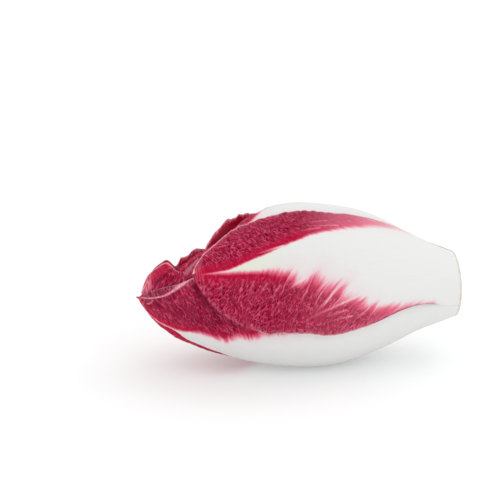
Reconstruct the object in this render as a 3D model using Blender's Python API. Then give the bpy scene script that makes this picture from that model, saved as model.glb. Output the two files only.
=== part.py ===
"""A head of red endive, lying on its side: seventeen leaves wrapped round a short stem.

The head lies along X, with its cut butt at +X and its point at -X, and rests on a flat spot
pressed into its lowest leaf. A station is a share of the head's length, 0 at the butt and 1 at
the point. An angle is taken round the head's own axis, 0 towards -Y and a quarter turn at +Z.
"""

from dataclasses import dataclass
from math import cos, degrees, pi, radians, sin

import bmesh
import bpy
from mathutils import Vector

# The head, in metres, with the stations of its widest place and of the flat spot under it
HEAD_LENGTH = 0.125
HEAD_RADIUS = 0.034
BUTT_RADIUS = 0.0128
WIDEST_STATION = 0.48
REST_STATION = 0.461
POINT_FALL = 1.8
POINT_ROUNDING = 0.7

# How it lies, in metres: its axis over the flat spot, falling a little towards the butt and the point
AXIS_HEIGHT = 0.0309
TILT = 0.05
TIP_DROOP = 0.0035

# Leaf thickness, in metres: the blade, its white rib above that near the butt, and the gap to the stem
BLADE = 0.0008
RIB = 0.0013
LEAF_GAP = 0.0004

# Each leaf turns on from the last by about the golden angle, in degrees
FIRST_ANGLE = 31.0
GOLDEN_ANGLE = 137.5
LEAF_COUNT = 17
LEAVES_IN_RING = 3

# The stem under the leaf feet: its radius in metres, and the station where it ends
STEM_RADIUS = 0.0078
STEM_END = 0.26
STEM_SIDES = 20

# Colours, seen from a step away
CRIMSON = (0.42, 0.012, 0.07, 1.0)
WHITE = (0.88, 0.87, 0.80, 1.0)


@dataclass
class Leaf:
    """One leaf. Angles are in degrees, root and tip are stations, sizes are in metres, and shoulders
    and flare_start are shares of the leaf's length. Each side widens between the two shares of its
    swell. Low is the side towards smaller angles and high the side towards larger ones."""

    name: str
    angle_at_butt: float
    angle_at_tip: float
    root: float
    tip: float
    low_width: float
    high_width: float
    low_foot: float
    high_foot: float
    foot_thickness: float
    depth: float
    low_swell: tuple = (0.0, 0.6)
    high_swell: tuple = (0.0, 0.6)
    low_shoulder: float = 0.6
    high_shoulder: float = 0.6
    taper: float = 2.2
    notch: float = 0.03
    bulge: float = 0.0
    bulge_middle: float = 0.0
    bulge_reach: float = 1.0
    tip_bulge: float = 0.0
    waist: float = 0.0
    low_lobe: float = 0.0
    low_flare: float = 0.0
    high_flare: float = 0.0
    flare_start: float = 0.5
    ruffle: float = 0.0003
    waves: float = 24.0
    rows: int = 20
    columns: int = 12


def ease(value):
    """0 below 0, 1 above 1, and a smooth step between them."""
    value = max(0.0, min(1.0, value))
    return value * value * (3.0 - 2.0 * value)


def mix(low, high, share):
    return low + (high - low) * share


def head_radius(station):
    """The head's outermost surface: a swelling sine up to the belly, then a blunt point."""
    if station < WIDEST_STATION:
        rise = sin(pi / 2 * (station / WIDEST_STATION) ** 1.1)
        return mix(BUTT_RADIUS, HEAD_RADIUS, rise)
    fall = min(1.0, (station - WIDEST_STATION) / (1.0 - WIDEST_STATION))
    return HEAD_RADIUS * (1.0 - fall**POINT_FALL) ** POINT_ROUNDING


def station_of(radius):
    """Where, beyond the belly, the head's surface has narrowed to this radius."""
    fall = (1.0 - (radius / HEAD_RADIUS) ** (1 / POINT_ROUNDING)) ** (1 / POINT_FALL)
    return mix(WIDEST_STATION, 1.0, fall)


def stem_radius(station):
    """The stem narrows steadily from the butt, then runs to a blunt point."""
    taper = (station / STEM_END) ** 1.3
    return STEM_RADIUS * (1.0 - taper) ** 0.7


def head_point(station, angle, radius):
    """A point of the head, from its station, its angle in degrees and its distance from the axis."""
    droop = TIP_DROOP * ease((station - WIDEST_STATION) / (1.0 - WIDEST_STATION))
    x = HEAD_LENGTH * (REST_STATION - station)
    y = -radius * cos(radians(angle))
    z = AXIS_HEIGHT - TILT * x - droop + radius * sin(radians(angle))
    return Vector((x, y, z))


def half_width(leaf, along, side):
    """The blade's width on one side of its rib: a clasping foot, a full belly and a closing tip."""
    foot, widest, shoulder, swell = (
        (leaf.low_foot, leaf.low_width, leaf.low_shoulder, leaf.low_swell)
        if side < 0
        else (leaf.high_foot, leaf.high_width, leaf.high_shoulder, leaf.high_swell)
    )
    swelling = ease((along - swell[0]) / (swell[1] - swell[0]))
    closing = max(0.0, (along - shoulder) / (1.0 - shoulder))
    notches = 1.0 + leaf.notch * sin(2.3 * leaf.waves * along) * ease((along - 0.5) / 0.3)
    lobe = 1.0 + (leaf.low_lobe if side < 0 else 0.0) * ease((along - 0.8) / 0.09)
    return mix(foot, widest, swelling) * (1.0 - closing**leaf.taper) ** 0.75 * notches * lobe


def rib_radius(leaf, station):
    """From the axis to the leaf's outer face: off the stem at the root, then under the head's surface."""
    foot_radius = stem_radius(leaf.root) + LEAF_GAP + leaf.foot_thickness
    at_root = head_radius(leaf.root) - foot_radius
    layer = leaf.depth * mix(1.0, 0.5, ease((station - 0.82) / 0.18))
    depth = mix(at_root, layer, ease((station - leaf.root) / 0.16))
    return head_radius(station) - depth


def lift(leaf, along, across, turn):
    """How far the blade stands off an even curve: over its rib, at its tip and at its waved margins."""
    off_bulge = (across - leaf.bulge_middle) / leaf.bulge_reach
    bulge = leaf.bulge * max(0.0, 1.0 - off_bulge**2) ** 2
    bulge *= ease(along / 0.18) * ease((0.75 - along) / 0.2) * (1.0 + 0.55 * ease((0.42 - along) / 0.2))
    near_tip = ease((along - 0.88) / 0.04) * ease((1.0 - along) / 0.03)
    bulge += leaf.tip_bulge * near_tip * ease((turn + 35) / 30)
    bulge -= leaf.waist * ease((along - 0.64) / 0.1) * ease((0.91 - along) / 0.04) * ease((turn - 5) / 20)
    flare = leaf.low_flare if across < 0 else leaf.high_flare
    towards_margin = ease((abs(across) - 0.45) / 0.55)
    towards_tip = ease((along - leaf.flare_start) / 0.3) * ease((1.0 - along) / 0.1)
    ripple = 0.5 + 0.5 * sin(leaf.waves * along + 2.0 * across)
    return bulge + towards_margin * towards_tip * (flare + leaf.ruffle * ripple)


def thickness_at(leaf, along, across):
    """The blade, the rib that thins towards the tip and the sides, and the thick foot on the stem."""
    rib_share = mix(0.72, 0.12, along)
    crown = max(0.0, 1.0 - (across / rib_share) ** 2) ** 2
    foot_share = max(0.0, 1.0 - along / 0.08) ** 2
    return mix(BLADE + RIB * (1.0 - along) * crown, leaf.foot_thickness, foot_share)


def leaf_point(leaf, along, across, inward):
    """A point of the leaf: 0 to 1 along, -1 to 1 across, and 0 to 1 from its outer to its inner face."""
    station = mix(leaf.root, leaf.tip, along)
    at_rib = rib_radius(leaf, station)
    turn = degrees(across * half_width(leaf, along, across) / max(at_rib, 0.0035))
    radius = at_rib + lift(leaf, along, across, turn)
    radius -= inward * thickness_at(leaf, along, across)
    middle = mix(leaf.angle_at_butt, leaf.angle_at_tip, ease((along - 0.35) / 0.55))
    return head_point(station, middle + turn, max(radius, 0.001))


def outer_leaves():
    """The five leaves that show, in the order in which they overlap."""
    return [
        Leaf(
            "leaf_01_front", 30, 38, root=0.0, tip=0.845, low_width=0.0295, high_width=0.0262,
            low_foot=0.0127, high_foot=0.0134, foot_thickness=0.0046, depth=0.0,
            low_swell=(0.12, 0.57), high_swell=(0.0, 0.35), low_shoulder=0.7, high_shoulder=0.5,
            notch=0.008, high_flare=-0.0014, flare_start=0.15, ruffle=0.0005, waves=30,
        ),
        Leaf(
            "leaf_02_back", 172, 174, root=0.0, tip=0.77, low_width=0.0235, high_width=0.033,
            low_foot=0.0177, high_foot=0.0110, foot_thickness=0.0046, depth=0.0012,
            low_shoulder=0.80, low_lobe=0.18, notch=0.015, ruffle=0.0012, waves=34,
        ),
        Leaf(
            "leaf_03_under", -72, -28, root=0.0, tip=1.0, low_width=0.032, high_width=0.037,
            low_foot=0.0141, high_foot=0.0096, foot_thickness=0.0046, depth=0.0023,
            low_swell=(0.0, 0.25), high_swell=(0.0, 0.25), low_shoulder=0.62, high_shoulder=0.62,
            taper=1.1, low_flare=0.0018, flare_start=0.6, ruffle=0.0002,
        ),
        Leaf(
            "leaf_04_top", 98, 62, root=0.035, tip=0.985, low_width=0.030, high_width=0.028,
            low_foot=0.0095, high_foot=0.0095, foot_thickness=0.0036, depth=0.0050,
            bulge=0.0031, bulge_middle=0.2, bulge_reach=0.6, tip_bulge=0.0024, waist=0.0042, waves=28,
        ),
        Leaf(
            "leaf_05_low_back", -141, -150, root=0.035, tip=0.915, low_width=0.028, high_width=0.031,
            low_foot=0.0095, high_foot=0.0095, foot_thickness=0.0036, depth=0.0045,
            rows=18, columns=10,
        ),
    ]


def inner_leaf(number):
    """An inner leaf, narrower and rooted higher on the stem the further in it is."""
    first = len(outer_leaves())
    inner = (number - first) / (LEAF_COUNT - 1 - first)
    ring = number // LEAVES_IN_RING
    root = 0.04 * ring - 0.005
    angle = (FIRST_ANGLE + GOLDEN_ANGLE * number) % 360
    depth = mix(0.0092, 0.0257, inner)
    width = mix(0.029, 0.011, inner)
    foot_thickness = mix(0.0034, 0.0012, inner**0.5)
    foot = radians(42) * (stem_radius(root) + foot_thickness)
    return Leaf(
        f"leaf_{number + 1:02d}_inner", angle, angle + 6, root=root, tip=station_of(depth + 0.0035),
        low_width=width, high_width=width, low_foot=foot, high_foot=foot,
        foot_thickness=foot_thickness, depth=depth, rows=12, columns=6,
    )


def leaves():
    outer = outer_leaves()
    return outer + [inner_leaf(number) for number in range(len(outer), LEAF_COUNT)]


def material(name, colour, roughness):
    made = bpy.data.materials.new(name)
    made.use_nodes = True
    shader = made.node_tree.nodes["Principled BSDF"]
    shader.inputs["Base Color"].default_value = colour
    shader.inputs["Roughness"].default_value = roughness
    made.diffuse_color = colour
    return made


def object_from(shape, name, finish):
    mesh = bpy.data.meshes.new(name)
    shape.to_mesh(mesh)
    shape.free()
    mesh.materials.append(finish)
    mesh.shade_smooth()
    mesh.set_sharp_from_angle(angle=radians(50))
    made = bpy.data.objects.new(name, mesh)
    bpy.context.scene.collection.objects.link(made)
    return made


def leaf_object(leaf, finish):
    """A flat grid, cut into triangles and thickened to a slab, then bent to the leaf's form."""
    shape = bmesh.new()
    bmesh.ops.create_grid(shape, x_segments=leaf.rows, y_segments=leaf.columns, size=1.0)
    bmesh.ops.triangulate(shape, faces=shape.faces[:])
    slab = bmesh.ops.extrude_face_region(shape, geom=shape.faces[:], use_keep_orig=True)
    inner_face = [part for part in slab["geom"] if isinstance(part, bmesh.types.BMVert)]
    bmesh.ops.translate(shape, verts=inner_face, vec=(0.0, 0.0, 1.0))
    for corner in shape.verts:
        share = (corner.co.x + 1.0) / 2.0
        along = mix(share, ease(share), 0.6)
        corner.co = leaf_point(leaf, along, corner.co.y, corner.co.z)
    bmesh.ops.remove_doubles(shape, verts=shape.verts[:], dist=1e-6)
    bmesh.ops.recalc_face_normals(shape, faces=shape.faces[:])
    if shape.calc_volume(signed=True) < 0:
        bmesh.ops.reverse_faces(shape, faces=shape.faces[:])
    return object_from(shape, leaf.name, finish)


def press_flat(leaf):
    """Presses a flat spot into the lowest leaf, where the head's weight rests."""
    shape = bmesh.new()
    shape.from_mesh(leaf.data)
    whole = shape.verts[:] + shape.edges[:] + shape.faces[:]
    cut = bmesh.ops.bisect_plane(
        shape, geom=whole, plane_co=(0, 0, 0), plane_no=(0, 0, -1), clear_outer=True
    )
    rim = [part for part in cut["geom_cut"] if isinstance(part, bmesh.types.BMEdge)]
    bmesh.ops.contextual_create(shape, geom=rim)
    bmesh.ops.triangulate(shape, faces=shape.faces[:])
    shape.to_mesh(leaf.data)
    shape.free()


def stem_object(finish):
    """A turned profile, from the cut face at the butt to the growing point inside the head."""
    steps = 14
    rings = [STEM_END * (step / steps) ** 0.85 for step in range(steps)]
    cut_face = head_point(0.0, 0.0, 0.0)
    growing_point = head_point(STEM_END, 0.0, 0.0)
    shape = bmesh.new()
    profile = [cut_face]
    profile += [head_point(station, 90.0, stem_radius(station)) for station in rings]
    profile.append(growing_point)
    corners = [shape.verts.new(point) for point in profile]
    edges = [shape.edges.new(pair) for pair in zip(corners, corners[1:])]
    bmesh.ops.spin(
        shape,
        geom=corners + edges,
        cent=cut_face,
        axis=growing_point - cut_face,
        angle=2 * pi,
        steps=STEM_SIDES,
        use_merge=True,
    )
    bmesh.ops.remove_doubles(shape, verts=shape.verts[:], dist=1e-6)
    bmesh.ops.recalc_face_normals(shape, faces=shape.faces[:])
    return object_from(shape, "stem", finish)


def main():
    for old in list(bpy.data.objects):
        bpy.data.objects.remove(old)
    crimson = material("red_leaf", CRIMSON, 0.45)
    white = material("stem_white", WHITE, 0.55)
    stem_object(white)
    made = {leaf.name: leaf_object(leaf, crimson) for leaf in leaves()}
    press_flat(made["leaf_03_under"])


main()
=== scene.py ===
from dataclasses import dataclass, field
from math import cos, pi, radians, sin

import bpy
import numpy as np
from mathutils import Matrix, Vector


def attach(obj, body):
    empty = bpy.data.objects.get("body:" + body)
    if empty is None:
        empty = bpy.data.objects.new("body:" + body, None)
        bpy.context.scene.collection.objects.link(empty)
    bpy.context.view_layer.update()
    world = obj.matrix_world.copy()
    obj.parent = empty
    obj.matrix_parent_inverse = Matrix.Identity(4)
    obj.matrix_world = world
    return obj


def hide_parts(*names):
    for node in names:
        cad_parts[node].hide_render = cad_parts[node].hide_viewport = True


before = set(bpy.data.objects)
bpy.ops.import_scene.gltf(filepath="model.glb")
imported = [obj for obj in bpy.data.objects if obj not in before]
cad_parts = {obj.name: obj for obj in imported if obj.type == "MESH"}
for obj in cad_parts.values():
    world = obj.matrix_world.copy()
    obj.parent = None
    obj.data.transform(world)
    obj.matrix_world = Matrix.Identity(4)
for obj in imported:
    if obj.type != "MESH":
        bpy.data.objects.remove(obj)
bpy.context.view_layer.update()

bpy.ops.object.select_all(action="DESELECT")

# The stem. A short cone of pale, firm tissue that carries every leaf and hides inside the head.
# It shows only where the head was cut from its root, as a disc that has browned a little in the air.

HEAD_LENGTH = 0.125
HEAD_RADIUS = 0.034
BUTT_RADIUS = 0.0128
WIDEST_STATION = 0.48
REST_STATION = 0.461
POINT_FALL = 1.8
POINT_ROUNDING = 0.7
AXIS_HEIGHT = 0.0309
TILT = 0.05
TIP_DROOP = 0.0035
SWELL_POWER = 1.1
STEM_RADIUS = 0.0078
STEM_END = 0.26
STEM_TAPER = 1.3
STEM_ROUNDING = 0.7


def ease(value):
    """0 below 0, 1 above 1, and a smooth step between them."""
    value = np.clip(value, 0.0, 1.0)
    return value * value * (3.0 - 2.0 * value)


def step(value, start, end):
    """0 at the start, 1 at the end, and a smooth step between them."""
    return ease((value - start) / (end - start))


def mix(low, high, share):
    """Low at a share of 0, and high at a share of 1."""
    return low + (high - low) * share


def head_radius(station):
    """The head's outermost surface: a swelling sine up to the belly, then a blunt point."""
    rise = np.sin(pi / 2 * (np.clip(station, 0.0, WIDEST_STATION) / WIDEST_STATION) ** SWELL_POWER)
    fall = np.clip((station - WIDEST_STATION) / (1.0 - WIDEST_STATION), 0.0, 1.0)
    beyond = HEAD_RADIUS * (1.0 - fall**POINT_FALL) ** POINT_ROUNDING
    return np.where(station < WIDEST_STATION, mix(BUTT_RADIUS, HEAD_RADIUS, rise), beyond)


def stem_radius(station):
    """The stem's own surface, a cone with a rounded end."""
    return STEM_RADIUS * np.clip(1.0 - (station / STEM_END) ** STEM_TAPER, 0.0, 1.0) ** STEM_ROUNDING


def head_point(station, angle, radius):
    """Points of the head, from their stations, their angles in degrees and their distances off its axis."""
    droop = TIP_DROOP * step(station, WIDEST_STATION, 1.0)
    turned = np.radians(angle)
    x = HEAD_LENGTH * (REST_STATION - station)
    y = -radius * np.cos(turned)
    z = AXIS_HEIGHT - TILT * x - droop + radius * np.sin(turned)
    return np.stack(np.broadcast_arrays(x, y, z), axis=-1)


def hills(x, y, seed):
    """Smooth bumps about one unit apart, from 0 to 1."""
    heights = np.random.default_rng(seed).random((64, 64))
    column = np.floor(x).astype(int)
    row = np.floor(y).astype(int)
    east = ease(x - column)
    north = ease(y - row)
    near = mix(heights[row % 64, column % 64], heights[row % 64, (column + 1) % 64], east)
    far = mix(heights[(row + 1) % 64, column % 64], heights[(row + 1) % 64, (column + 1) % 64], east)
    return mix(near, far, north)


class Number:
    """A number that varies over a surface. Sums written with it become Math nodes of its finish."""

    def __init__(self, finish, socket):
        self.finish = finish
        self.socket = socket

    def math(self, operation, *others):
        values = {"Value": self}
        for place, other in zip(("Value_001", "Value_002"), others):
            values[place] = other
        return self.finish.node("ShaderNodeMath", {"operation": operation}, values)

    def __add__(self, other):
        return self.math("ADD", other)

    def __sub__(self, other):
        return self.math("SUBTRACT", other)

    def __mul__(self, other):
        return self.math("MULTIPLY", other)

    def __rsub__(self, other):
        return self * -1.0 + other

    __radd__ = __add__
    __rmul__ = __mul__

    def least(self, other):
        return self.math("MINIMUM", other)

    def most(self, other):
        return self.math("MAXIMUM", other)

    def between(self, low, high):
        """0 at low, 1 at high, and a smooth step between them."""
        settings = {"interpolation_type": "SMOOTHSTEP"}
        return self.finish.node(
            "ShaderNodeMapRange", settings, {"Value": self, "From Min": low, "From Max": high}
        )


class Finish:
    """A node material with one shader."""

    def __init__(self, name, **constant):
        self.material = bpy.data.materials.new(name)
        self.material.use_nodes = True
        self.tree = self.material.node_tree
        self.shader = self.tree.nodes["Principled BSDF"]
        for socket, value in constant.items():
            self.shader.inputs[socket.replace("_", " ")].default_value = value

    def node(self, kind, settings, sockets, output=0):
        made = self.tree.nodes.new(kind)
        for setting, value in settings.items():
            setattr(made, setting, value)
        inputs = {socket.identifier: socket for socket in made.inputs}
        for place, value in sockets.items():
            if isinstance(value, Number):
                self.tree.links.new(value.socket, inputs[place])
            else:
                inputs[place].default_value = value
        return Number(self, made.outputs[output])

    def attribute(self, name):
        return self.node("ShaderNodeAttribute", {"attribute_name": name}, {}, output="Fac")

    def vector(self, x, y, z=0.0):
        return self.node("ShaderNodeCombineXYZ", {}, {"X": x, "Y": y, "Z": z})

    def noise(self, place, detail=2.0, roughness=0.5):
        sockets = {"Vector": place, "Scale": 1.0, "Detail": detail, "Roughness": roughness}
        return self.node("ShaderNodeTexNoise", {}, sockets)

    def cells(self, place):
        settings = {"feature": "DISTANCE_TO_EDGE"}
        return self.node("ShaderNodeTexVoronoi", settings, {"Vector": place, "Scale": 1.0})

    def lines(self, place):
        """How far a number is from the nearest of a row of unevenly spaced lines, about one apart."""
        settings = {"feature": "DISTANCE_TO_EDGE", "voronoi_dimensions": "1D"}
        return self.node("ShaderNodeTexVoronoi", settings, {"W": place, "Scale": 1.0})

    def blend(self, share, first, second):
        sockets = {"Factor_Float": share, "A_Color": first, "B_Color": second}
        return self.node("ShaderNodeMix", {"data_type": "RGBA"}, sockets, output=2)

    def use(self, colour, roughness, height, depth):
        """Feeds the shader: a colour, a roughness, and a height from 0 to 1 over a depth in metres."""
        self.tree.links.new(colour.socket, self.shader.inputs["Base Color"])
        self.tree.links.new(roughness.socket, self.shader.inputs["Roughness"])
        bump = self.node("ShaderNodeBump", {}, {"Strength": 1.0, "Distance": depth, "Height": height})
        self.tree.links.new(bump.socket, self.shader.inputs["Normal"])
        return self.material


def grid(name, rows, columns):
    """A flat grid, two units square: rows along X and columns along Y."""
    bpy.ops.mesh.primitive_grid_add(x_subdivisions=rows, y_subdivisions=columns, size=2.0)
    made = bpy.context.object
    made.name = name
    made.data.name = name
    return made


def close_up(piece, sharp):
    """Merges what meets, turns every face outwards and smooths all but the sharp edges."""
    bpy.ops.object.mode_set(mode="EDIT")
    bpy.ops.mesh.select_all(action="SELECT")
    bpy.ops.mesh.remove_doubles(threshold=1e-6)
    bpy.ops.mesh.normals_make_consistent(inside=False)
    bpy.ops.object.mode_set(mode="OBJECT")
    bpy.ops.object.shade_smooth_by_angle(angle=radians(sharp))
    piece.select_set(False)


def corners(piece):
    """The mesh's points, as an array."""
    places = np.empty(len(piece.data.vertices) * 3)
    piece.data.vertices.foreach_get("co", places)
    return places.reshape(-1, 3)


def give(piece, name, values):
    """Stores a number at each point of the mesh, for its finish to read."""
    layer = piece.data.attributes.new(name, "FLOAT", "POINT")
    layer.data.foreach_set("value", np.broadcast_to(values, len(piece.data.vertices)).astype(np.float32))


STEM_GRID = 72
FACE_SHARE = 0.4
SIDE_CROWDING = 1.2
CUT_BUMPS = 0.0003
BUMPS_A_MILLIMETRE = 0.9

stem = grid("stem_core", STEM_GRID, STEM_GRID)
flat = corners(stem)
turn_of_stem = 180.0 * flat[:, 0]
share_of_stem = (flat[:, 1] + 1.0) / 2.0
on_face = share_of_stem < FACE_SHARE
over_face = np.clip(share_of_stem / FACE_SHARE, 0.0, 1.0)
up_side = np.clip((share_of_stem - FACE_SHARE) / (1.0 - FACE_SHARE), 0.0, 1.0)
stem_station = STEM_END * up_side**SIDE_CROWDING
radius = np.where(on_face, STEM_RADIUS * over_face, stem_radius(stem_station))
across_face = radius * 1000 * np.cos(np.radians(turn_of_stem))
up_face = radius * 1000 * np.sin(np.radians(turn_of_stem))
rough = CUT_BUMPS * hills(BUMPS_A_MILLIMETRE * across_face + 20, BUMPS_A_MILLIMETRE * up_face + 20, 3)
stem_station = stem_station + np.where(on_face, rough / HEAD_LENGTH * (1 - over_face), 0)
stem.data.vertices.foreach_set("co", head_point(stem_station, turn_of_stem, radius).ravel())
give(stem, "across", across_face)
give(stem, "along", up_face)
give(stem, "cut", np.where(share_of_stem <= FACE_SHARE, 1.0, 0.0))
close_up(stem, sharp=40)

cut_finish = Finish("cut_stem", Subsurface_Weight=0.1, Subsurface_Scale=0.002)
sideways = cut_finish.attribute("across")
upwards = cut_finish.attribute("along")
fibre = cut_finish.vector(sideways * 0.9, upwards * 0.9)
stain = cut_finish.noise(fibre, detail=4.0)
dots = cut_finish.noise(cut_finish.vector(sideways * 3.0, upwards * 3.0))
cream = (0.76, 0.70, 0.55, 1.0)
brown = (0.42, 0.22, 0.09, 1.0)
browned = stain.between(0.42, 0.72) * cut_finish.attribute("cut")
stem_colour = cut_finish.blend(browned * 0.8, cream, brown)
stem.data.materials.append(
    cut_finish.use(stem_colour, 0.65 - dots * 0.2, stain * 0.6 + dots * 0.4, 0.0004)
)
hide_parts("stem")
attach(stem, "root")


# The front leaf. The outermost leaf of the head, which wraps round the side that faces out.
# It is one thick white rib that thins into crimson lamina, and its thin margins are paler than the blade.

# Thicknesses, gaps and heights in metres, and reaches as shares of a leaf, a half width or the head

BLADE = 0.0008
RIB = 0.0013
RIB_REACH_AT_ROOT = 0.72
RIB_REACH_AT_TIP = 0.12
FOOT_LENGTH = 0.08
LEAF_GAP = 0.0004
CLIMB_OFF_STEM = 0.16
NARROWEST_TURN = 0.0035
TIP_RADIUS = 0.001
TIP_WALL = 0.0006
THIN_MARGIN = 0.45
THIN_MARGIN_WIDTH_MM = 1.2
HOLLOW_DEPTH = 0.0004
FOLD_HEIGHT = 0.0004
STREAK_HEIGHT = 0.0002
RIB_GROOVES = 0.00006
ROW_CROWDING = 0.6


@dataclass
class Leaf:
    """One leaf. Angles are in degrees, root and tip are stations, and sizes are in metres. Shoulders
    and flare_start are shares of its length, and each side widens between the two shares of its
    swell. Low is the side towards smaller angles, and high the side towards larger ones.
    white holds the white rib's edges as station, low angle and high angle, and feather how far the
    red fades into it on either side, in millimetres, as station, low and high. The reddening of a
    side is how much red its lamina holds, and the pale of a side how pale its margin is or, below 0,
    how dark the painted shadow along its margin is, as station and share. Streaks are white side
    veins, folds are sharp pale creases and hollows are dips darkened by painted shade: each is a
    width in millimetres, a strength, and a path of stations and angles.
    A leaf that rests is pressed flat by the floor."""

    name: str
    angle_at_butt: float
    angle_at_tip: float
    root: float
    tip: float
    low_width: float
    high_width: float
    low_foot: float
    high_foot: float
    foot_thickness: float
    depth: float
    low_swell: tuple = (0.0, 0.6)
    high_swell: tuple = (0.0, 0.6)
    low_shoulder: float = 0.6
    high_shoulder: float = 0.6
    taper: float = 2.2
    notch: float = 0.03
    bulge: float = 0.0
    bulge_middle: float = 0.0
    bulge_reach: float = 1.0
    tip_bulge: float = 0.0
    waist: float = 0.0
    low_lobe: float = 0.0
    low_flare: float = 0.0
    high_flare: float = 0.0
    flare_start: float = 0.5
    ruffle: float = 0.0003
    waves: float = 24.0
    white: list = field(default_factory=list)
    feather: list = field(default_factory=lambda: [(0.0, 1.5, 1.5), (1.0, 1.5, 1.5)])
    low_reddening: tuple = ((0.14, 0.0), (0.45, 1.0))
    high_reddening: tuple = ((0.14, 0.0), (0.45, 1.0))
    pucker: float = 0.0005
    crimp: float = 0.0006
    crimp_length: float = 3.0
    veined: float = 0.25
    low_pale_and_shadow: tuple = ((0.3, 0.0), (0.45, 0.5))
    high_pale_and_shadow: tuple = ((0.3, 0.0), (0.45, 0.8))
    pale_width: float = 0.75
    flecked: float = 0.25
    streaks: list = field(default_factory=list)
    folds: list = field(default_factory=list)
    hollows: list = field(default_factory=list)
    rests: bool = False
    seed: int = 1


def half_width(leaf, along, side):
    """The blade's width on one side of its rib: a clasping foot, a full belly and a closing tip."""
    foot = np.where(side < 0, leaf.low_foot, leaf.high_foot)
    widest = np.where(side < 0, leaf.low_width, leaf.high_width)
    shoulder = np.where(side < 0, leaf.low_shoulder, leaf.high_shoulder)
    start = np.where(side < 0, leaf.low_swell[0], leaf.high_swell[0])
    full = np.where(side < 0, leaf.low_swell[1], leaf.high_swell[1])
    swelling = step(along, start, full)
    closing = np.clip((along - shoulder) / (1.0 - shoulder), 0.0, 1.0)
    notches = 1.0 + leaf.notch * np.sin(2.3 * leaf.waves * along) * step(along, 0.5, 0.8)
    lobe = 1.0 + np.where(side < 0, leaf.low_lobe, 0.0) * step(along, 0.8, 0.89)
    return mix(foot, widest, swelling) * (1.0 - closing**leaf.taper) ** 0.75 * notches * lobe


def rib_radius(leaf, station):
    """From the axis to the leaf's outer face: off the stem at the root, then under the head's surface."""
    foot_radius = stem_radius(leaf.root) + LEAF_GAP + leaf.foot_thickness
    at_root = head_radius(leaf.root) - foot_radius
    layer = leaf.depth * mix(1.0, 0.5, step(station, 0.82, 1.0))
    depth = mix(at_root, layer, step(station, leaf.root, leaf.root + CLIMB_OFF_STEM))
    return head_radius(station) - depth


def lift(leaf, along, across, turn):
    """How far the blade stands off an even curve: over its rib, at its tip and at its waved margins."""
    off_bulge = (across - leaf.bulge_middle) / leaf.bulge_reach
    bulge = leaf.bulge * np.clip(1.0 - off_bulge**2, 0.0, 1.0) ** 2
    bulge = bulge * step(along, 0.0, 0.18) * step(along, 0.75, 0.55)
    bulge = bulge * (1.0 + 0.55 * step(along, 0.42, 0.22))
    near_tip = step(along, 0.88, 0.92) * step(along, 1.0, 0.97)
    bulge = bulge + leaf.tip_bulge * near_tip * step(turn, -35, -5)
    dip = step(along, 0.64, 0.74) * step(along, 0.91, 0.87) * step(turn, 5, 25)
    bulge = bulge - leaf.waist * dip
    flare = np.where(across < 0, leaf.low_flare, leaf.high_flare)
    towards_margin = step(np.abs(across), 0.45, 1.0)
    towards_tip = step(along, leaf.flare_start, leaf.flare_start + 0.3) * step(along, 1.0, 0.9)
    ripple = 0.5 + 0.5 * np.sin(leaf.waves * along + 2.0 * across)
    return bulge + towards_margin * towards_tip * (flare + leaf.ruffle * ripple)


def thickness_at(leaf, along, across):
    """The blade, the rib that thins towards the tip and the sides, and the thick foot on the stem."""
    rib_reach = mix(RIB_REACH_AT_ROOT, RIB_REACH_AT_TIP, along)
    crown = np.clip(1.0 - (across / rib_reach) ** 2, 0.0, 1.0) ** 2
    foot_share = np.clip(1.0 - along / FOOT_LENGTH, 0.0, 1.0) ** 2
    return mix(BLADE + RIB * (1.0 - along) * crown, leaf.foot_thickness, foot_share)


def blisters(x, y, seed):
    """Puckers between fine veins about one unit apart: 0 on a vein and 1 in the middle of a pucker."""
    scatter = np.random.default_rng(seed).random((64, 64, 2))
    nearest = np.full(x.shape, 9.0)
    second = np.full(x.shape, 9.0)
    for east in (-1, 0, 1):
        for north in (-1, 0, 1):
            column = np.floor(x).astype(int) + east
            row = np.floor(y).astype(int) + north
            spot = scatter[row % 64, column % 64]
            gap = np.hypot(column + spot[:, 0] - x, row + spot[:, 1] - y)
            second = np.minimum(second, np.maximum(nearest, gap))
            nearest = np.minimum(nearest, gap)
    return np.clip(second - nearest, 0.0, 1.0)


def nearness(station, angle, radius, path, width, fading=0.0):
    """1 on a path of stations and angles, falling to 0 at a width in millimetres that narrows along it."""
    x = station * HEAD_LENGTH * 1000
    near = np.zeros(x.shape)
    for part, ((first, first_angle), (second, second_angle)) in enumerate(zip(path, path[1:])):
        run = (second - first) * HEAD_LENGTH * 1000
        rise = np.radians(second_angle - first_angle) * radius * 1000
        from_x = x - first * HEAD_LENGTH * 1000
        from_y = np.radians(angle - first_angle) * radius * 1000
        share = np.clip((from_x * run + from_y * rise) / (run**2 + rise**2 + 1e-9), 0.0, 1.0)
        progress = (part + share) / (len(path) - 1)
        gap = np.hypot(from_x - share * run, from_y - share * rise) / (width * mix(1.0, 0.5, progress))
        near = np.maximum(near, ease(1.0 - gap) * (1.0 - fading * progress**1.5))
    return near


def marked(paths, station, angle, radius, fading=0.0):
    """How strongly a leaf's streaks, folds or hollows mark each point, from 0 to 1."""
    strongest = np.zeros(station.shape)
    for width, strength, path in paths:
        near = nearness(station, angle, radius, path, width, fading)
        strongest = np.maximum(strongest, strength * near)
    return strongest


def read_table(rows, station):
    """Each column of a table of stations and values, read at these stations."""
    stations, *columns = np.array(rows).T
    return [np.interp(station, stations, column) for column in columns]


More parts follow.
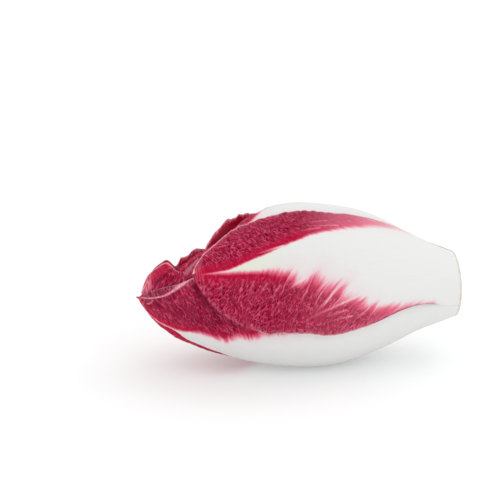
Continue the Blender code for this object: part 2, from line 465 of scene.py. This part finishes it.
def grow(leaf, rows, columns):
    """Thickens a flat grid to a slab, bends it to the leaf's form, and marks its rib, veins and margin."""
    piece = grid(leaf.name, rows, columns)
    bpy.ops.object.mode_set(mode="EDIT")
    bpy.ops.mesh.select_all(action="SELECT")
    bpy.ops.mesh.extrude_region_move(TRANSFORM_OT_translate={"value": (0.0, 0.0, 1.0)})
    bpy.ops.object.mode_set(mode="OBJECT")
    flat = corners(piece)
    share = (flat[:, 0] + 1.0) / 2.0
    along = mix(share, ease(share), ROW_CROWDING)
    across = flat[:, 1]
    inward = flat[:, 2]
    station = mix(leaf.root, leaf.tip, along)
    at_rib = rib_radius(leaf, station)
    width = half_width(leaf, along, across)
    turn = np.degrees(across * width / np.maximum(at_rib, NARROWEST_TURN))
    angle = mix(leaf.angle_at_butt, leaf.angle_at_tip, step(along, 0.35, 0.9)) + turn

    # Where the red stands on the blade, from 0 on the rib to 1 on the open lamina
    low_edge, high_edge = read_table(leaf.white, station)
    low_feather, high_feather = read_table(leaf.feather, station)
    to_low = np.radians(low_edge - angle) * at_rib * 1000
    to_high = np.radians(angle - high_edge) * at_rib * 1000
    low_share = to_low / low_feather
    high_share = to_high / high_feather
    low_reddening = read_table(leaf.low_reddening, station)[0]
    high_reddening = read_table(leaf.high_reddening, station)[0]
    reddening = np.where(low_share > high_share, low_reddening, high_reddening)
    redness = np.maximum(low_share, high_share)
    beyond = np.maximum(to_low, to_high)
    red = ease(redness + 0.5) * reddening
    across_mm = np.radians(angle - (low_edge + high_edge) / 2) * at_rib * 1000
    along_mm = station * HEAD_LENGTH * 1000
    to_margin = np.minimum((1.0 - np.abs(across)) * width, (1.0 - along) * HEAD_LENGTH * 0.5) * 1000

    # Side veins leave the rib at a slant, and more steeply the nearer they are to the tip
    slant = mix(1.1, 0.4, step(station, 0.3, 0.75))
    slant = slant + np.where(across_mm > 0, mix(2.5, 0.2, step(station, 0.25, 0.55)), 0.0)
    vein = along_mm - slant * np.abs(across_mm)

    # The lamina puckers between its veins, and dips rather than rises, so it stays under its neighbours
    side = 31.0 * (across_mm > 0)
    puckers = blisters(vein / 2.0 + 9, np.abs(across_mm) / 3.2 + side, leaf.seed)
    swells = hills(vein / 5.0 + 40, across_mm / 8.0 + 40, leaf.seed + 5)
    open_blade = red * step(along, 1.0, 0.97)
    dips = leaf.pucker * open_blade * (1.3 - 0.7 * puckers**0.5 - 0.9 * swells)
    grooves = hills(across_mm / 1.6 + 50, along_mm / 30.0, leaf.seed + 7)
    dips = dips + RIB_GROOVES * (1.0 - red) * grooves

    # Its free margins crimp in and out, and its own folds, hollows and raised side veins come last
    crimps = hills(along_mm / leaf.crimp_length + 3, np.sign(across) * 7 + 20, leaf.seed + 9) - 0.5
    crimps = crimps * step(np.abs(across), 0.78, 0.98) * step(station, 0.35, 0.55)
    crimps = leaf.crimp * crimps * step(along, 1.0, 0.95)
    fold = marked(leaf.folds, station, angle, at_rib)
    hollow = marked(leaf.hollows, station, angle, at_rib)
    streak = marked(leaf.streaks, station, angle, at_rib, fading=1.0)
    dips = dips + HOLLOW_DEPTH * hollow - FOLD_HEIGHT * fold - STREAK_HEIGHT * streak

    thin_margin = mix(THIN_MARGIN, 1.0, ease(to_margin / THIN_MARGIN_WIDTH_MM))
    thickness = thickness_at(leaf, along, across) * np.where(along < 0.1, 1.0, thin_margin)
    radius = at_rib + lift(leaf, along, across, turn) - dips + crimps - inward * thickness
    places = head_point(station, angle, np.maximum(radius, TIP_RADIUS - TIP_WALL * inward))
    if leaf.rests:
        places[:, 2] = np.maximum(places[:, 2], 0.0)
    piece.data.vertices.foreach_set("co", places.ravel())
    low_pale_and_shadow = read_table(leaf.low_pale_and_shadow, station)[0]
    high_pale_and_shadow = read_table(leaf.high_pale_and_shadow, station)[0]
    marks = {
        "across": across_mm,
        "along": along_mm,
        "vein": vein,
        "redness": redness,
        "reddening": reddening,
        "feather": beyond / redness,
        "beyond": beyond,
        "margin": to_margin,
        "veined": leaf.veined,
        "pale": np.where(across < 0, low_pale_and_shadow, high_pale_and_shadow),
        "flecked": leaf.flecked,
        "streak": streak,
        "pale_width": leaf.pale_width,
        "fold": fold,
        "hollow": hollow,
        "inner": inward,
        "cut": np.where(leaf.root < 0.01, step(along, 0.012, 0.003), 0.0),
    }
    for name, values in marks.items():
        give(piece, name, values)
    close_up(piece, sharp=60)
    return piece


def leaf_finish(name):
    """White rib, streaks of vein, red lamina with a fine raised net of veins, and a pale margin."""
    rib_white = (0.77, 0.77, 0.765, 1.0)
    rib_grey = (0.72, 0.725, 0.705, 1.0)
    rib_green = (0.73, 0.75, 0.60, 1.0)
    blushed_rib = (0.80, 0.40, 0.48, 1.0)
    young_pink = (0.78, 0.17, 0.27, 1.0)
    vein_and_highlight_pink = (0.86, 0.12, 0.27, 1.0)
    sheen_pink = (0.42, 0.07, 0.14, 1.0)
    fleck_pink = (0.98, 0.34, 0.46, 1.0)
    margin_pink = (0.97, 0.49, 0.58, 1.0)
    near_rib_crimson = (0.45, 0.001, 0.034, 1.0)
    open_crimson = (0.36, 0.001, 0.032, 1.0)
    inner_crimson = (0.92, 0.020, 0.110, 1.0)
    inner_rose = (1.0, 0.100, 0.220, 1.0)
    hollow_shade_red = (0.15, 0.002, 0.022, 1.0)
    margin_shadow_red = (0.12, 0.002, 0.015, 1.0)
    pit_and_shade_red = (0.07, 0.0, 0.008, 1.0)
    dried_brown = (0.55, 0.42, 0.30, 1.0)

    finish = Finish(name, Subsurface_Weight=0.05, Subsurface_Scale=0.001, Specular_IOR_Level=0.04)
    across = finish.attribute("across")
    along = finish.attribute("along")
    redness = finish.attribute("redness")
    reddening = finish.attribute("reddening")
    feather = finish.attribute("feather")
    beyond = finish.attribute("beyond")
    margin = finish.attribute("margin")
    inner = finish.attribute("inner")
    wander = finish.noise(finish.vector(along * 0.12, across * 0.12, 3.0)) * 5.0 - 2.5
    wobble = finish.noise(finish.vector(along * 0.9, across * 0.9), detail=2.0) * 0.8 - 0.4
    vein = finish.attribute("vein") + wander + wobble

    # Red runs between the veins in long soft fingers, and a few veins stay white some way into it
    fingers = finish.noise(finish.vector(vein * 0.15, across * 0.03, 1.0), detail=1.0)
    strands = finish.noise(finish.vector(vein * 0.6, across * 0.05, 2.0), detail=3.0, roughness=0.6)
    soft = feather.between(0.5, 5.0)
    reach = redness + (fingers - 0.5) * (0.7 + soft * 1.1) + (strands - 0.5) * (1.0 + soft * 0.9)
    painted = (reach + 0.5).between(-0.45, 1.5) * reddening
    chosen = finish.noise(finish.vector(vein * 0.14, 5.0, across * 0.02)).between(0.45, 0.6)
    side_vein = (1.0 - finish.lines(vein * 0.21).between(0.02, 0.13)) * chosen
    side_vein = side_vein * (1.0 - beyond.between(4.0, 11.0)) * (0.1 + soft * 0.9)
    painted = painted * (1.0 - side_vein * finish.attribute("veined") * 0.7)
    painted = painted * (1.0 - finish.attribute("streak") * (0.6 + strands * 0.6)).most(0.0)

    # The net of fine veins stands up between dark pits. The veins' pink is partly their own colour and
    # partly a painted highlight, and the pits' dark red is partly their own colour and partly painted shade
    open_blade = beyond.between(0.8, 6.0)
    net = finish.cells(finish.vector(vein * 1.0, across * 0.5))
    fine_net = finish.cells(finish.vector(vein * 2.2, across * 1.4, 4.0))
    ridge = 1.0 - net.between(0.02, 0.13)
    fine_ridge = 1.0 - fine_net.between(0.0, 0.16)
    patch = finish.noise(finish.vector(along * 0.2, across * 0.2, 7.0), detail=3.0)
    broken = finish.noise(finish.vector(vein * 0.8, across * 0.4, 11.0), detail=2.0).between(0.4, 0.58)
    raised = (ridge * 0.9 + fine_ridge * 0.3) * (0.12 + broken * 0.88) * (0.15 + open_blade * 0.85)
    pit_and_shade_share = net.between(0.08, 0.24) * (0.95 - broken * 0.55) * open_blade
    painted = painted * (1.0 - raised * (1.0 - painted) * 0.8)

    # The red lamina, brighter and smoother on its inner face, with patches of painted sheen and painted
    # shade in its hollows
    lamina = finish.blend(open_blade * 0.7, near_rib_crimson, open_crimson)
    # Painted shade darkens the pits beyond their own deeper red
    lamina = finish.blend(pit_and_shade_share * (1.0 - patch.between(0.45, 0.62) * 0.6), lamina, pit_and_shade_red)
    # The raised veins are pink, brightened further by a painted highlight
    lamina = finish.blend((raised * 0.85).least(1.0), lamina, vein_and_highlight_pink)
    # Painted sheen: greyish pink patches on the open lamina
    lamina = finish.blend(patch.between(0.52, 0.68) * open_blade * 0.18, lamina, sheen_pink)
    inner_red = finish.blend(patch.between(0.4, 0.6), inner_crimson, inner_rose)
    lamina = finish.blend(inner * 0.9, lamina, inner_red)
    # Painted shade darkens the lamina in its hollows
    lamina = finish.blend(finish.attribute("hollow"), lamina, hollow_shade_red)

    # The rib, white with a touch of green where it narrows, and blushed where the red begins
    lengthwise = finish.noise(finish.vector(along * 0.03, across * 1.1), detail=2.0)
    white = finish.blend(lengthwise * 0.6, rib_white, rib_grey)
    greening = along.between(66.0, 88.0) * finish.attribute("veined").between(0.3, 0.6) * 0.6
    white = finish.blend(greening, white, rib_green)
    blush = (redness + (fingers - 0.5) * 2.0).between(-2.5, 0.5) * reddening * soft * 0.35
    white = finish.blend(blush, white, blushed_rib)
    surface = finish.blend(painted.between(0.0, 0.55), white, young_pink)
    surface = finish.blend(painted.between(0.4, 1.0), surface, lamina)

    # The margin, flecked with pink and edged pale on some sides and with a painted shadow on others,
    # then the folds and the browned cut
    pale = finish.attribute("pale")
    edge_noise = finish.noise(finish.vector(along * 0.7, 0.0, 13.0))
    pale_edge = (1.0 - margin.between(0.15, finish.attribute("pale_width"))) * edge_noise.between(0.2, 0.5)
    crease_noise = finish.noise(finish.vector(along * 1.3, across * 1.3, 19.0))
    creased = finish.attribute("fold") * crease_noise.between(0.2, 0.5)
    flecks = finish.noise(finish.vector(along * 1.5, across * 0.15, 23.0), detail=2.0).between(0.45, 0.56)
    flecks = flecks * (1.0 - margin.between(0.8, 3.0)) * painted * finish.attribute("flecked")
    surface = finish.blend(flecks, surface, fleck_pink)
    surface = finish.blend((pale_edge * pale.most(0.0)).most(creased), surface, margin_pink)
    # A painted shadow darkens the margin where its pale value is below 0
    painted_shadow_edge = (1.0 - margin.between(0.1, 1.0)) * (pale * -1.0).most(0.0) * painted
    surface = finish.blend(painted_shadow_edge, surface, margin_shadow_red)
    browned = finish.attribute("cut") * (0.2 + patch.between(0.3, 0.7) * 0.5)
    surface = finish.blend(browned, surface, dried_brown)

    roughness = 0.5 - painted * 0.06 + patch * 0.1
    height = raised * painted * (1.0 - inner * 0.6) + (1.0 - painted) * lengthwise * 0.12
    return finish.use(surface, roughness, height, depth=0.0003)


leaf_red = leaf_finish("red_leaf_outer")


def dress(leaf, rows, columns, node):
    """Grows a leaf in place of its solid."""
    piece = grow(leaf, rows, columns)
    piece.data.materials.append(leaf_red)
    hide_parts(node)
    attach(piece, "root")
    return piece


front = Leaf(
    "leaf_01", 30, 38, root=0.0, tip=0.845, low_width=0.0295, high_width=0.0262,
    low_foot=0.0127, high_foot=0.0134, foot_thickness=0.0046, depth=0.0,
    low_swell=(0.12, 0.57), high_swell=(0.0, 0.35), low_shoulder=0.7, high_shoulder=0.5,
    notch=0.008, high_flare=-0.0014, flare_start=0.15, ruffle=0.0005, waves=30, seed=11,
    veined=0.7, crimp=0.0007, crimp_length=1.6,
    # Below 0, the lower margin carries a painted shadow where it stands over the leaf underneath
    low_pale_and_shadow=((0.07, 0.0), (0.11, -1.0), (0.27, -1.0), (0.33, 0.5), (0.66, 0.6), (0.70, -0.5), (1.0, -0.5)),
    high_pale_and_shadow=((0.3, 0.0), (0.45, 1.0)),
    streaks=[
        (1.0, 1.0, [(0.527, 21.7), (0.555, 17.8), (0.582, 13.8)]),
        (0.8, 0.9, [(0.444, 22.0), (0.478, 15.3), (0.506, 9.0)]),
        (1.1, 1.0, [(0.398, 22.0), (0.415, 17.7), (0.448, 10.8), (0.477, 3.9), (0.51, -3.0)]),
        (0.9, 0.9, [(0.365, 9.6), (0.379, 7.7), (0.436, 3.0), (0.492, -1.9), (0.53, -7.0)]),
        (0.6, 0.6, [(0.386, -4.4), (0.42, -5.4), (0.455, -6.8)]),
        (0.5, 0.6, [(0.405, 0.0), (0.44, -2.0), (0.48, -4.6)]),
        (0.7, 0.45, [(0.600, 17.5), (0.618, 13.0), (0.632, 8.0)]),
        (0.7, 0.4, [(0.640, 19.5), (0.655, 14.0), (0.668, 8.0)]),
        (0.7, 0.35, [(0.675, 22.0), (0.690, 15.0), (0.706, 7.0)]),
        (0.7, 0.35, [(0.705, 24.0), (0.715, 16.0), (0.728, 7.0)]),
        (0.9, 0.8, [(0.580, 44.2), (0.625, 42.7), (0.670, 41.3)]),
        (0.6, 0.5, [(0.40, 60.0), (0.45, 58.5), (0.49, 58.0), (0.53, 59.0)]),
        (0.6, 0.4, [(0.43, 64.5), (0.48, 62.0), (0.52, 61.5)]),
        (0.6, 0.5, [(0.46, 56.5), (0.50, 54.5), (0.54, 54.0)]),
    ],
    low_reddening=(
        (0.06, 0.0), (0.10, 0.42), (0.15, 0.48), (0.22, 0.55), (0.28, 0.74), (0.34, 0.83), (0.48, 0.86),
        (0.60, 0.97), (0.66, 1.0),
    ),
    high_reddening=(
        (0.08, 0.0), (0.13, 0.08), (0.21, 0.34), (0.28, 0.46), (0.35, 0.60), (0.404, 0.68), (0.47, 0.85),
        (0.55, 1.0),
    ),
    white=[
        (0.0, -40, 100), (0.07, -14, 82), (0.10, -5, 78), (0.15, -2.2, 76), (0.19, -1.5, 75), (0.28, 0, 67),
        (0.33, 2, 61), (0.37, 9, 58), (0.44, 15, 53.5), (0.53, 21, 47.8), (0.59, 25.5, 43.2),
        (0.65, 28, 39.3), (0.70, 29.5, 36.3), (0.744, 30.8, 33.7), (0.765, 32.6, 33.6), (0.79, 33.6, 33.8),
        (0.81, 35.2, 34.2), (0.83, 37.5, 33.5),
        (1.0, 39.0, 33.0),
    ],
    feather=[
        (0.0, 2, 2.5), (0.20, 2.5, 2.5), (0.30, 3.5, 2.5), (0.38, 5.5, 2.0), (0.45, 6.5, 1.4),
        (0.57, 4, 1.0), (0.66, 1.6, 0.8), (1.0, 0.6, 0.6),
    ],
)
dress(front, 290, 165, "leaf_01_front")

# The back leaf. It wraps the far side of the head, and its free margin stands up in a ruffled lip
# behind the top leaf, where its smooth dark inner face shows.

back = Leaf(
    "leaf_02", 172, 174, root=0.0, tip=0.77, low_width=0.0235, high_width=0.033,
    low_foot=0.0177, high_foot=0.0110, foot_thickness=0.0046, depth=0.0012,
    low_shoulder=0.80, low_lobe=0.18, notch=0.015, ruffle=0.0012, waves=34, seed=23,
    crimp=0.0018, crimp_length=1.6,
    low_pale_and_shadow=((0.3, 0.0), (0.45, 1.0)), pale_width=1.2, flecked=1.0,
    white=[
        (0.0, 90, 250), (0.15, 128, 222), (0.3, 140, 207), (0.45, 152, 195), (0.6, 164, 186),
        (0.72, 174, 180), (0.78, 179, 180), (1.0, 180, 180),
    ],
    feather=[(0.0, 2, 3), (0.3, 3, 6), (0.5, 1.5, 4), (1.0, 0.8, 1)],
)
dress(back, 230, 130, "leaf_02_back")

# The leaf underneath. The head rests on its broad white belly, pressed a little flat, and its tip
# closes the head's point.

under = Leaf(
    "leaf_03", -72, -28, root=0.0, tip=1.0, low_width=0.032, high_width=0.037,
    low_foot=0.0141, high_foot=0.0092, foot_thickness=0.0046, depth=0.0023,
    low_swell=(0.0, 0.25), high_swell=(-0.03, 0.25), low_shoulder=0.62, high_shoulder=0.62, rests=True,
    taper=1.1, low_flare=0.0018, flare_start=0.6, ruffle=0.0002, seed=37,
    low_pale_and_shadow=((0.0, 0.2),), high_pale_and_shadow=((0.3, 0.0), (0.45, 0.8), (0.85, 0.8), (0.88, 0.15)), flecked=0.25,
    folds=[
        (1.5, 1.0, [(0.850, 37), (0.880, 29), (0.900, 23)]),
        (0.7, 0.9, [(0.898, 23.5), (0.926, 15.2), (0.959, 9.7), (0.985, 5)]),
        (0.35, 0.6, [(0.972, -20), (0.960, -5), (0.955, 9)]),
    ],
    # Painted shade: the hollows darken the shadow cast by the front leaf's lower edge, a broad shaded patch
    # low on the point, and a shaded strip beside the crease near the point
    hollows=[
        (3.6, 0.6, [(0.838, 24), (0.826, 14), (0.808, 3), (0.785, -7), (0.765, -13)]),
        (16.0, 0.32, [(0.80, -14), (0.94, -6)]),
        (2.2, 0.75, [(0.885, 40), (0.91, 32), (0.94, 26), (0.97, 22)]),
    ],
    white=[
        (0.0, -130, 0), (0.3, -125, 0), (0.46, -115, -9), (0.54, -106, -15), (0.61, -95, -19),
        (0.67, -84, -24), (0.70, -76, -29),
        (0.756, -67, -34), (0.79, -66, -36), (0.83, -66, -37), (0.851, -65, -40), (0.867, -62, -45),
        (0.88, -59, -49.5), (0.90, -57, -54), (0.923, -61, -58.5), (0.95, -68, -66), (0.975, -75, -73),
        (1.0, -75, -73),
    ],
    feather=[(0.0, 3, 4), (0.5, 4, 3.6), (0.75, 1.2, 3.2), (0.85, 0.8, 1.5), (1.0, 0.6, 0.6)],
)
dress(under, 240, 130, "leaf_03_under")

# The top leaf. Only its white rib shows between the front and back leaves, and its crinkled red tip
# bulges out over the head's point.

top = Leaf(
    "leaf_04", 98, 62, root=0.035, tip=0.985, low_width=0.030, high_width=0.028,
    low_foot=0.0095, high_foot=0.0095, foot_thickness=0.0036, depth=0.0050,
    bulge=0.0031, bulge_middle=0.2, bulge_reach=0.6, tip_bulge=0.0024, waist=0.0034,
    waves=28, seed=41, pucker=0.0007, flecked=0.6,
    folds=[
        (0.65, 0.9, [
            (0.975, 99), (0.955, 98), (0.935, 96), (0.919, 92), (0.906, 84), (0.897, 74), (0.888, 64),
            (0.876, 57),
        ]),
        (1.5, 0.4, [(0.855, 50), (0.835, 60), (0.815, 66)]),
        (0.4, 0.7, [(0.984, 60), (0.970, 70), (0.962, 95)]),
    ],
    # Painted shade: the hollows darken the shaded crinkles behind the bulging tip and under its fold
    hollows=[
        (2.4, 0.85, [(0.868, 70), (0.862, 110)]),
        (2.0, 0.7, [(0.846, 76), (0.842, 108)]),
        (2.2, 0.7, [(0.940, 52), (0.912, 54)]),
        (1.2, 0.7, [(0.880, 60), (0.884, 100)]),
    ],
    white=[
        (0.0, 40, 160), (0.3, 50, 140), (0.5, 62, 118), (0.6, 72, 98), (0.66, 80, 81), (0.72, 84, 74),
        (1.0, 80, 70),
    ],
    feather=[(0.0, 2, 5), (0.5, 1.5, 4), (1.0, 1, 1)],
)
dress(top, 230, 120, "leaf_04_top")

# The low back leaf. It closes the head between the back leaf and the one underneath, and the upper
# corner of its blade shows behind the point as a crimped rim.

low_back = Leaf(
    "leaf_05", -141, -150, root=0.035, tip=0.915, low_width=0.028, high_width=0.031,
    low_foot=0.0095, high_foot=0.0095, foot_thickness=0.0036, depth=0.0045, seed=53,
    low_lobe=0.38, crimp=0.0014, crimp_length=1.6, flecked=1.0,
    white=[
        (0.0, -200, -80), (0.3, -178, -104), (0.5, -166, -122), (0.65, -157, -138),
        (0.75, -150, -147), (1.0, -150, -150),
    ],
    feather=[(0.0, 4, 4), (0.6, 3, 3), (1.0, 1, 1)],
)
dress(low_back, 200, 110, "leaf_05_low_back")

# The inner leaves. Each is narrower, paler at its foot and rooted higher on the stem than the last,
# and turns on from it by about the golden angle.

FIRST_ANGLE = 31.0
GOLDEN_ANGLE = 137.5
LEAF_COUNT = 17
OUTER_LEAVES = 5
LEAVES_IN_RING = 3
RING_STEP = 0.04
RING_START = 0.005
FOOT_SPAN = 42
FIRST_DEPTH, LAST_DEPTH = 0.0092, 0.0257
FIRST_WIDTH, LAST_WIDTH = 0.029, 0.011
FIRST_FOOT, LAST_FOOT = 0.0034, 0.0012
FIRST_RIB, LAST_RIB = 40, 70
HEART_RADIUS = 0.0035


def station_of(radius):
    """Where, beyond the belly, the head's surface has narrowed to this radius."""
    fall = (1.0 - (radius / HEAD_RADIUS) ** (1 / POINT_ROUNDING)) ** (1 / POINT_FALL)
    return mix(WIDEST_STATION, 1.0, fall)


for number in range(OUTER_LEAVES, LEAF_COUNT):
    inwards = (number - OUTER_LEAVES) / (LEAF_COUNT - 1 - OUTER_LEAVES)
    root = RING_STEP * (number // LEAVES_IN_RING) - RING_START
    angle = (FIRST_ANGLE + GOLDEN_ANGLE * number) % 360
    depth = mix(FIRST_DEPTH, LAST_DEPTH, inwards)
    foot_thickness = mix(FIRST_FOOT, LAST_FOOT, inwards**0.5)
    foot = radians(FOOT_SPAN) * (float(stem_radius(root)) + foot_thickness)
    width = mix(FIRST_WIDTH, LAST_WIDTH, inwards)
    tip = station_of(depth + HEART_RADIUS)
    spread = mix(FIRST_RIB, LAST_RIB, inwards)
    inner_leaf = Leaf(
        f"leaf_{number + 1:02d}", angle, angle + 6, root=root, tip=tip,
        low_width=width, high_width=width, low_foot=foot, high_foot=foot,
        foot_thickness=foot_thickness, depth=depth, pucker=0.0004, seed=60 + number,
        white=[
            (0.0, angle - 2 * spread, angle + 2 * spread), (0.35, angle - spread, angle + spread),
            (0.72, angle + 2, angle + 10), (1.0, angle + 6, angle + 6),
        ],
    )
    dress(inner_leaf, 80, 50, f"leaf_{number + 1:02d}_inner")

# The floor. A plain pale sheet of paper that lies flat under the head and runs up behind it in a
# smooth curve, so that no edge shows.

FLOOR_FRONT = -1.2
FLOOR_LENGTH = 5.2
FLOOR_HALF_WIDTH = 4.0
FLOOR_BEND = 1.6
BEND_RADIUS = 0.7

bpy.ops.mesh.primitive_grid_add(x_subdivisions=2, y_subdivisions=60, size=2.0)
floor = bpy.context.object
floor.name = "floor"
sheet = corners(floor)
run = FLOOR_FRONT + FLOOR_LENGTH * (sheet[:, 1] + 1.0) / 2.0
turned = np.clip((run - FLOOR_BEND) / BEND_RADIUS, 0.0, pi / 2)
risen = np.maximum(run - FLOOR_BEND - BEND_RADIUS * pi / 2, 0.0)
depth = np.minimum(run, FLOOR_BEND) + BEND_RADIUS * np.sin(turned)
height = BEND_RADIUS * (1.0 - np.cos(turned)) + risen
places = np.stack([sheet[:, 0] * FLOOR_HALF_WIDTH, depth, height], axis=1)
floor.data.vertices.foreach_set("co", places.ravel())
floor.data.update()
bpy.ops.object.shade_smooth_by_angle(angle=radians(60))
floor.select_set(False)
floor_finish = Finish(
    "floor_white", Specular_IOR_Level=0.1, Emission_Color=(1.0, 1.0, 1.0, 1.0), Emission_Strength=0.2
)
grain = floor_finish.noise(
    floor_finish.node("ShaderNodeTexCoord", {}, {}, output="Object") * 1.0, detail=1.0
)
paper_shade = (0.775, 0.784, 0.784, 1.0)
paper_white = (0.785, 0.794, 0.794, 1.0)
floor_colour = floor_finish.blend(grain, paper_shade, paper_white)
floor.data.materials.append(floor_finish.use(floor_colour, 0.8 - grain * 0.05, grain, 0.00001))

# The light. A pale room lights the head from all sides, with a large soft lamp overhead and a weaker
# one beside the camera.

HEAD_MIDDLE = Vector((0.0, 0.0, 0.03))

room = bpy.data.worlds.new("pale_room")
room.use_nodes = True
room.node_tree.nodes["Background"].inputs["Color"].default_value = (1.0, 1.0, 1.0, 1.0)
room.node_tree.nodes["Background"].inputs["Strength"].default_value = 1.0
bpy.context.scene.world = room


def lamp(name, place, size, power):
    """A square lamp that faces the middle of the head."""
    bpy.ops.object.light_add(type="AREA", location=place)
    made = bpy.context.object
    made.name = name
    made.data.shape = "SQUARE"
    made.data.size = size
    made.data.energy = power
    made.rotation_euler = (HEAD_MIDDLE - Vector(place)).to_track_quat("-Z", "Y").to_euler()
    made.select_set(False)


lamp("lamp_overhead", place=(0.5, 0.15, 0.7), size=0.6, power=0.85)
lamp("lamp_front", place=(0.4, -0.9, 0.6), size=0.6, power=0.7)

# The camera. A long lens, a little above the head and a little round towards its point, whose frame
# is shifted so that the head lies low and to the right.

SENSOR_WIDTH = 36.0
AZIMUTH = -12.0
ELEVATION = 17.0
DISTANCE = 0.9
FRAME_WIDTH = 0.193
AIM = Vector((-0.002, 0.0, 0.030))

bpy.ops.object.camera_add()
camera = bpy.context.object
camera.name = "camera"
out = Vector((
    sin(radians(AZIMUTH)) * cos(radians(ELEVATION)),
    -cos(radians(AZIMUTH)) * cos(radians(ELEVATION)),
    sin(radians(ELEVATION)),
))
camera.location = AIM + out * DISTANCE
camera.rotation_euler = (-out).to_track_quat("-Z", "Y").to_euler()
camera.data.sensor_width = SENSOR_WIDTH
camera.data.lens = SENSOR_WIDTH * DISTANCE / FRAME_WIDTH
camera.data.shift_x = -0.108
camera.data.shift_y = 0.075
camera.data.clip_start = 0.01
camera.select_set(False)
bpy.context.scene.camera = camera
bpy.context.scene.view_settings.view_transform = "Standard"
